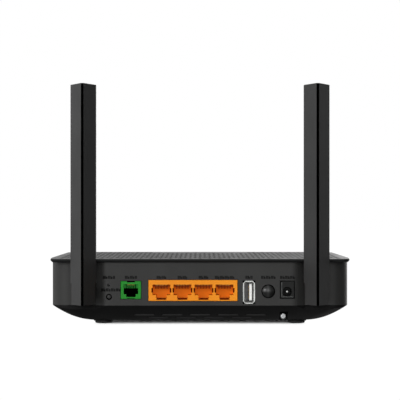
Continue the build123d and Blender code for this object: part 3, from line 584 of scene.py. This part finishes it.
def lan_combs(bm):
    """Teeth between the contacts, deeper at the back where the contacts dip."""
    for x in lan_centres:
        comb(bm, x, lan_tooth_pitch, lan_teeth, lan_tooth_width, lan_comb_low, lan_opening_top)
        for i in range(lan_teeth):
            left = x + (i - (lan_teeth - 1) / 2) * lan_tooth_pitch - lan_tooth_width / 2
            start = (left, comb_dip, lan_comb_dip_low)
            add_block(bm, start, (left + lan_tooth_width, comb_back, lan_comb_low))


def phone_combs(bm):
    """Teeth between the phone contacts and a solid post at either end of the row."""
    comb(
        bm,
        phone_middle,
        phone_tooth_pitch,
        phone_teeth,
        phone_tooth_width,
        phone_comb_low,
        phone_opening_top,
    )
    low = (shade_near, phone_comb_low)
    add_pair(bm, phone_middle, *phone_post, low, (comb_back, phone_opening_top), comb_edge)


def lan_shades(bm):
    """Painted shade in the pockets of each port: dark plates in a latch notch at either side and in the slot
    under the tab.
    """
    near = panel_y + 0.8 * MM
    far = panel_y + 1.0 * MM
    for x in lan_centres:
        add_pair(bm, x, *lan_notch, (near, lan_notch_z[0]), (far, lan_notch_z[1]))
        start = (x - lan_slot_half, near, lan_slot_z[0])
        add_block(bm, start, (x + lan_slot_half, far, lan_slot_z[1]))


def lan_liners(bm):
    """Glowing back wall of each network port and of its tab slot: painted light that brightens the shaded
    inside.
    """
    near = lan_back - 0.1 * MM
    half = 5.9 * MM
    top = 25.0 * MM
    for x in lan_centres:
        add_block(bm, (x - half, near, lan_tab_top), (x + half, lan_back, top))
        start = (x - lan_slot_half, near, lan_slot_z[1])
        add_block(bm, start, (x + lan_slot_half, lan_back, lan_tab_top))


def comb_shades(bm):
    """Painted shade: a dark ceiling over the combs, so that the gaps between the teeth read as gaps."""
    near = panel_y + 2.6 * MM
    far = panel_y + 9.4 * MM
    half = 5.8 * MM
    low = lan_opening_top - 0.15 * MM
    for x in lan_centres:
        add_block(bm, (x - half, near, low), (x + half, far, lan_opening_top))


def phone_liner(bm):
    """Painted shade: a thin black lining of the phone socket, open at the front, and of the notch above it.
    """
    skin = 0.08 * MM
    near = panel_y + 1.0 * MM
    far = panel_y + 11.5 * MM
    half = 4.8 * MM
    tab_half = 3.15 * MM
    low = 19.1 * MM
    ledge = 21.1 * MM
    high = phone_opening_top
    x = phone_middle
    notch_half = 2.6 * MM
    notch_start = (x - notch_half, panel_y + 0.7 * MM, 28.9 * MM)
    add_block(bm, notch_start, (x + notch_half, panel_y + 0.8 * MM, 29.7 * MM))
    add_block(bm, (x - half, far - skin, low), (x + half, far, high))
    add_block(bm, (x - half, near, high - skin), (x + half, far, high))
    add_block(bm, (x - tab_half, near, low), (x + tab_half, far, low + skin))
    add_pair(bm, x, half - skin, half, (near, ledge), (far, high))
    add_pair(bm, x, tab_half - skin, tab_half, (near, low), (far, ledge))
    add_pair(bm, x, tab_half, half, (near, ledge), (far, ledge + skin))


def usb_corners(bm):
    """Painted shade: a dark backing behind the USB frame's cut corners."""
    tube_half_width = 2.95 * MM
    half_width = 4.1 * MM
    half_height = 7.7 * MM
    centre = middle(usb_low, usb_high)
    low = (shade_near, centre.z - half_height)
    add_pair(bm, centre.x, tube_half_width, half_width, low, (shade_far, centre.z + half_height))


def usb_shades(bm):
    """Painted shade: darker steel on the left side and the back of the USB mouth."""
    centre = middle(usb_low, usb_high)
    half_width = 2.55 * MM
    half_height = 6.25 * MM
    skin = 0.06 * MM
    far = panel_y + 13.0 * MM
    left = centre.x - half_width
    low = centre.z - half_height
    high = centre.z + half_height
    add_block(bm, (left, shade_near, low), (left + skin, far, high))
    add_block(bm, (left, far - skin, low), (centre.x + half_width, far, high))


def inlet_ledge(bm):
    """Raised ledge inside the left and lower edges of the power inlet's face, in a lighter grey that paints
    the highlight these two edges catch.
    """
    inset = 0.9 * MM
    width = 0.35 * MM
    front = inlet_low.y - 0.15 * MM
    back = inlet_low.y + 0.3 * MM
    left = inlet_low.x + inset
    right = inlet_high.x - inset
    face_low = 18.2 * MM  # the box of the whole inlet also holds its lower base
    face_high = 29.8 * MM
    bottom = face_low + inset
    top = face_high - inset
    edge = 0.08 * MM
    add_block(bm, (left, front, bottom), (left + width, back, top), edge)
    add_block(bm, (left, front, bottom), (right, back, bottom + width), edge)


def circle(bm, centre, radius, y, sides=48):
    """Vertices of a circle that faces the socket panel."""
    turns = [2 * math.pi * i / sides for i in range(sides)]
    places = [(centre.x + radius * math.cos(t), y, centre.z + radius * math.sin(t)) for t in turns]
    return [bm.verts.new(place) for place in places]


def key_wells(bm):
    """Painted shade: a dark ring in the gap round each round key, clear of the key and of the panel's hole.
    """
    wells = (
        (power_low, power_high, 4.0 * MM, 4.58 * MM),
        (wps_low, wps_high, 1.25 * MM, 1.98 * MM),
    )
    for low, high, inner, outer in wells:
        centre = middle(low, high)
        near_in, near_out, far_in, far_out = (
            circle(bm, centre, radius, y) for y in (shade_near, shade_far) for radius in (inner, outer)
        )
        rings = (near_in, near_out, far_out, far_in)
        for first, second in zip(rings, rings[1:] + rings[:1]):
            for i in range(len(first)):
                j = (i + 1) % len(first)
                bm.faces.new((first[i], first[j], second[j], second[i]))


add_piece("lan_combs", lan_combs, lan_comb)
add_piece("phone_combs", phone_combs, phone_comb)
add_piece("lan_shades", lan_shades, lan_shade)
add_piece("lan_liners", lan_liners, lan_inner_glow)
add_piece("comb_shades", comb_shades, lan_shade)
add_piece("phone_liner", phone_liner, dark)
add_piece("key_wells", key_wells, dark, smooth_angle=40)
add_piece("usb_shades", usb_shades, usb_dark)
add_piece("usb_corners", usb_corners, dark)
add_piece("inlet_ledge", inlet_ledge, ledge_highlight_grey)

# ---- painted highlights on the far edges of the first vent rows ---------------------------
vent_first = 9.8 * MM  # from the socket panel to the middle of the first row
vent_row_pitch = 4.7 * MM
vent_pitch = 18.7 * MM
vent_half_width = 0.95 * MM
vent_lip_rows = 3
vent_lip_half_length = 6.6 * MM
vent_lip_thickness = 0.06 * MM
belly_flat = 2.0 * MM  # height of the belly's flat bottom
belly_rise = 11.5 * MM  # from the flat bottom up to the seam with the wall
belly_inset = 24.0 * MM  # the flat bottom starts this far in from the panel
belly_fullness = 1.7  # power of the curve between them; 1 is a straight slope


def belly_height(inset):
    """Height of the belly's outside this far in from the socket panel."""
    return belly_flat + belly_rise * (1 - inset / belly_inset) ** belly_fullness


def vent_lips(bm):
    """Thin plates of lighter plastic on the far side of each slot, from the belly's outside there upwards: a
    painted highlight on each slot's far edge.
    """
    for row in range(vent_lip_rows):
        slots = 5 - row % 2
        inset = vent_first + row * vent_row_pitch
        far = inset + vent_half_width
        low = belly_height(far)
        high = belly_height(inset - vent_half_width)
        y = panel_y + far
        for slot in range(slots):
            x = (slot - (slots - 1) / 2) * vent_pitch
            start = (x - vent_lip_half_length, y - vent_lip_thickness, low)
            add_block(bm, start, (x + vent_lip_half_length, y, high))


add_piece("vent_lips", vent_lips, lip_highlight)

# ---- printed marks on the panel -----------------------------------------------------------
mark_height = 2.0 * MM
mark_cell = 1.3 * MM
mark_gap = 0.35 * MM
mark_stand = 0.03 * MM  # in front of the panel, and as far into it
bar_share = 0.42  # of a cell
long_row_shift = 1.2 * MM
upper_row_z = 32.2 * MM
lower_row_z = 23.9 * MM
upper_marks = [
    (middle(wps_low, wps_high).x, 5),
    (phone_middle, 5),
    *[(x, 4) for x in lan_centres[:3]],
    (lan_centres[3], 8),
    (middle(usb_low, usb_high).x, 3),
    (middle(power_low, power_high).x, 6),
    (middle(inlet_low, inlet_high).x, 6),
]


def mark_row(bm, centre_x, z, cells):
    """A row of blank cells, some short and some split, that stands for a printed legend."""
    width = cells * mark_cell + (cells - 1) * mark_gap
    for i in range(cells):
        left = centre_x - width / 2 + i * (mark_cell + mark_gap)
        bottom = z - mark_height / 2
        back = panel_y + mark_stand
        front = panel_y - mark_stand
        bar = bar_share * mark_cell
        add_block(bm, (left, front, bottom), (left + bar, back, bottom + mark_height))
        if i % 2:
            add_block(bm, (left + bar, front, bottom), (left + mark_cell, back, bottom + bar))
            middle_z = z - bar / 2
            add_block(bm, (left + bar, front, middle_z), (left + mark_cell, back, middle_z + bar))
        else:
            right = left + mark_cell
            add_block(bm, (right - bar, front, bottom), (right, back, bottom + mark_height))


def panel_marks(bm):
    for x, cells in upper_marks:
        mark_row(bm, x, upper_row_z, cells)
    mark_row(bm, middle(wps_low, wps_high).x + long_row_shift, lower_row_z, 8)


add_piece("panel_marks", panel_marks, ink)

# ---- blank bars on the rating label -------------------------------------------------------
bar_lengths = (0.92, 0.64, 0.8, 0.5, 0.88, 0.7)  # shares of the label's width inside its margins
bar_margin = 4.0 * MM
bar_pitch = 3.6 * MM
bar_width = 1.1 * MM
bar_stand = 0.02 * MM


def label_bars(bm):
    """Blank bars of uneven length that stand for the label's lines of print."""
    left = label_low.x + bar_margin
    widest = label_high.x - label_low.x - 2 * bar_margin
    for row, share in enumerate(bar_lengths):
        y = label_low.y + bar_margin + row * bar_pitch
        start = (left, y, label_low.z - bar_stand)
        add_block(bm, start, (left + widest * share, y + bar_width, label_low.z + bar_stand))


add_piece("label_bars", label_bars, ink)


# ---- studio -------------------------------------------------------------------------------
# Brightness of the room round the object: turns from the front, left negative, and strength.
room_ring = (
    (-1.0, 0.65),
    (-0.8, 0.65),
    (-0.66, 1.8),
    (-0.5, 2.3),
    (-0.3, 1.3),
    (-0.1, 1.4),
    (0.0, 4.2),
    (0.09, 1.5),
    (0.2, 0.35),
    (0.5, 0.25),
    (0.62, 0.3),
    (0.7, 1.8),
    (0.8, 5.0),
    (0.9, 3.0),
    (1.0, 0.65),
)
room_peak = max(strength for angle, strength in room_ring)
room_below = 0.16  # brightness under the horizon and overhead, as shares of the ring's
room_overhead = 0.4
horizon = (-0.15, 0.03)  # heights of the direction vector over which each of them fades
overhead = (0.15, 0.6)


def make_world():
    """White to the camera. To the object it is a soft room: a bright ring, dim below and overhead."""
    world = bpy.data.worlds.new("studio")
    world.use_nodes = True
    bpy.context.scene.world = world
    graph = Graph(world.node_tree)
    coordinates = graph.add("ShaderNodeTexCoord")
    parts = graph.add("ShaderNodeSeparateXYZ", Vector=coordinates.outputs["Generated"])
    x, y, z = parts.outputs
    turn = graph.math("ARCTAN2", x, graph.math("MULTIPLY", y, -1.0))
    ramp = graph.add("ShaderNodeValToRGB", Fac=graph.spread(turn, 0.0, 1.0, (-math.pi, math.pi)))
    ramp.color_ramp.interpolation = "EASE"
    stops = ramp.color_ramp.elements
    while len(stops) < len(room_ring):
        stops.new(0.5)
    for stop, (angle, strength) in zip(stops, room_ring):
        stop.position = (angle + 1) / 2
        stop.color = (*[strength / room_peak] * 3, 1.0)
    rise = graph.spread(z, room_below, 1.0, horizon)
    fall = graph.spread(z, 1.0, room_overhead, overhead)
    level = graph.math("MULTIPLY", rise, fall)
    strength = graph.math("MULTIPLY", graph.math("MULTIPLY", ramp.outputs[0], level), room_peak)
    room = graph.add("ShaderNodeBackground", Color=(1.0, 1.0, 1.0, 1.0), Strength=strength)
    white = graph.add("ShaderNodeBackground", Color=(1.0, 1.0, 1.0, 1.0), Strength=1.0)
    path = graph.add("ShaderNodeLightPath")
    mix = graph.add("ShaderNodeMixShader")
    graph.tree.links.new(path.outputs["Is Camera Ray"], mix.inputs[0])
    graph.tree.links.new(room.outputs[0], mix.inputs[1])
    graph.tree.links.new(white.outputs[0], mix.inputs[2])
    output = graph.add("ShaderNodeOutputWorld")
    graph.tree.links.new(mix.outputs[0], output.inputs[0])


def make_floor():
    """Pale floor that glows white, so that only the shadow under the belly shows on it; that shadow is
    painted from the floor's ambient occlusion and kept to the belly's width.
    """
    size = 3.0
    white_level = 1.02
    shadow_reach = 0.12
    shadow_half_width = (0.064, 0.072)  # full inside the first, gone beyond the second
    open_share_to_white = 8.0
    material, graph = new_graph("floor_white")
    openness = graph.add("ShaderNodeAmbientOcclusion", Distance=shadow_reach)
    openness.samples = 16
    place = graph.add("ShaderNodeSeparateXYZ", Vector=graph.place())
    aside = graph.math("ABSOLUTE", place.outputs["X"])
    outside = graph.spread(aside, 0.0, white_level, shadow_half_width)
    share = graph.math("MULTIPLY", openness.outputs["AO"], open_share_to_white)
    # Painted shadow: the glow drops with the floor's ambient occlusion, only inside the belly's width.
    lit = graph.math("MINIMUM", graph.math("MAXIMUM", share, outside), white_level)
    glow = graph.add("ShaderNodeEmission", Color=(1.0, 1.0, 1.0, 1.0), Strength=lit)
    output = graph.add("ShaderNodeOutputMaterial")
    graph.tree.links.new(glow.outputs[0], output.inputs[0])
    data = bpy.data.meshes.new("floor")
    corners = [(-size, -size, 0.0), (size, -size, 0.0), (size, size, 0.0), (-size, size, 0.0)]
    data.from_pydata(corners, [], [(0, 1, 2, 3)])
    data.materials.append(material)
    floor = bpy.data.objects.new("floor", data)
    bpy.context.scene.collection.objects.link(floor)
    floor.visible_diffuse = False
    floor.visible_glossy = False
    floor.visible_transmission = False


def soft_light(name, place, target, size, power):
    """A lamp panel of this size in metres, aimed at target and hidden from the camera."""
    data = bpy.data.lights.new(name, "AREA")
    data.shape = "RECTANGLE"
    data.size, data.size_y = size
    data.energy = power
    light = bpy.data.objects.new(name, data)
    light.location = place
    light.rotation_euler = (Vector(target) - Vector(place)).to_track_quat("-Z", "Y").to_euler()
    light.visible_camera = False
    bpy.context.scene.collection.objects.link(light)


make_world()
make_floor()
object_middle = middle(*cad_box)
soft_light("key", (-0.55, -0.8, 0.24), object_middle, (0.4, 0.3), 2.6)
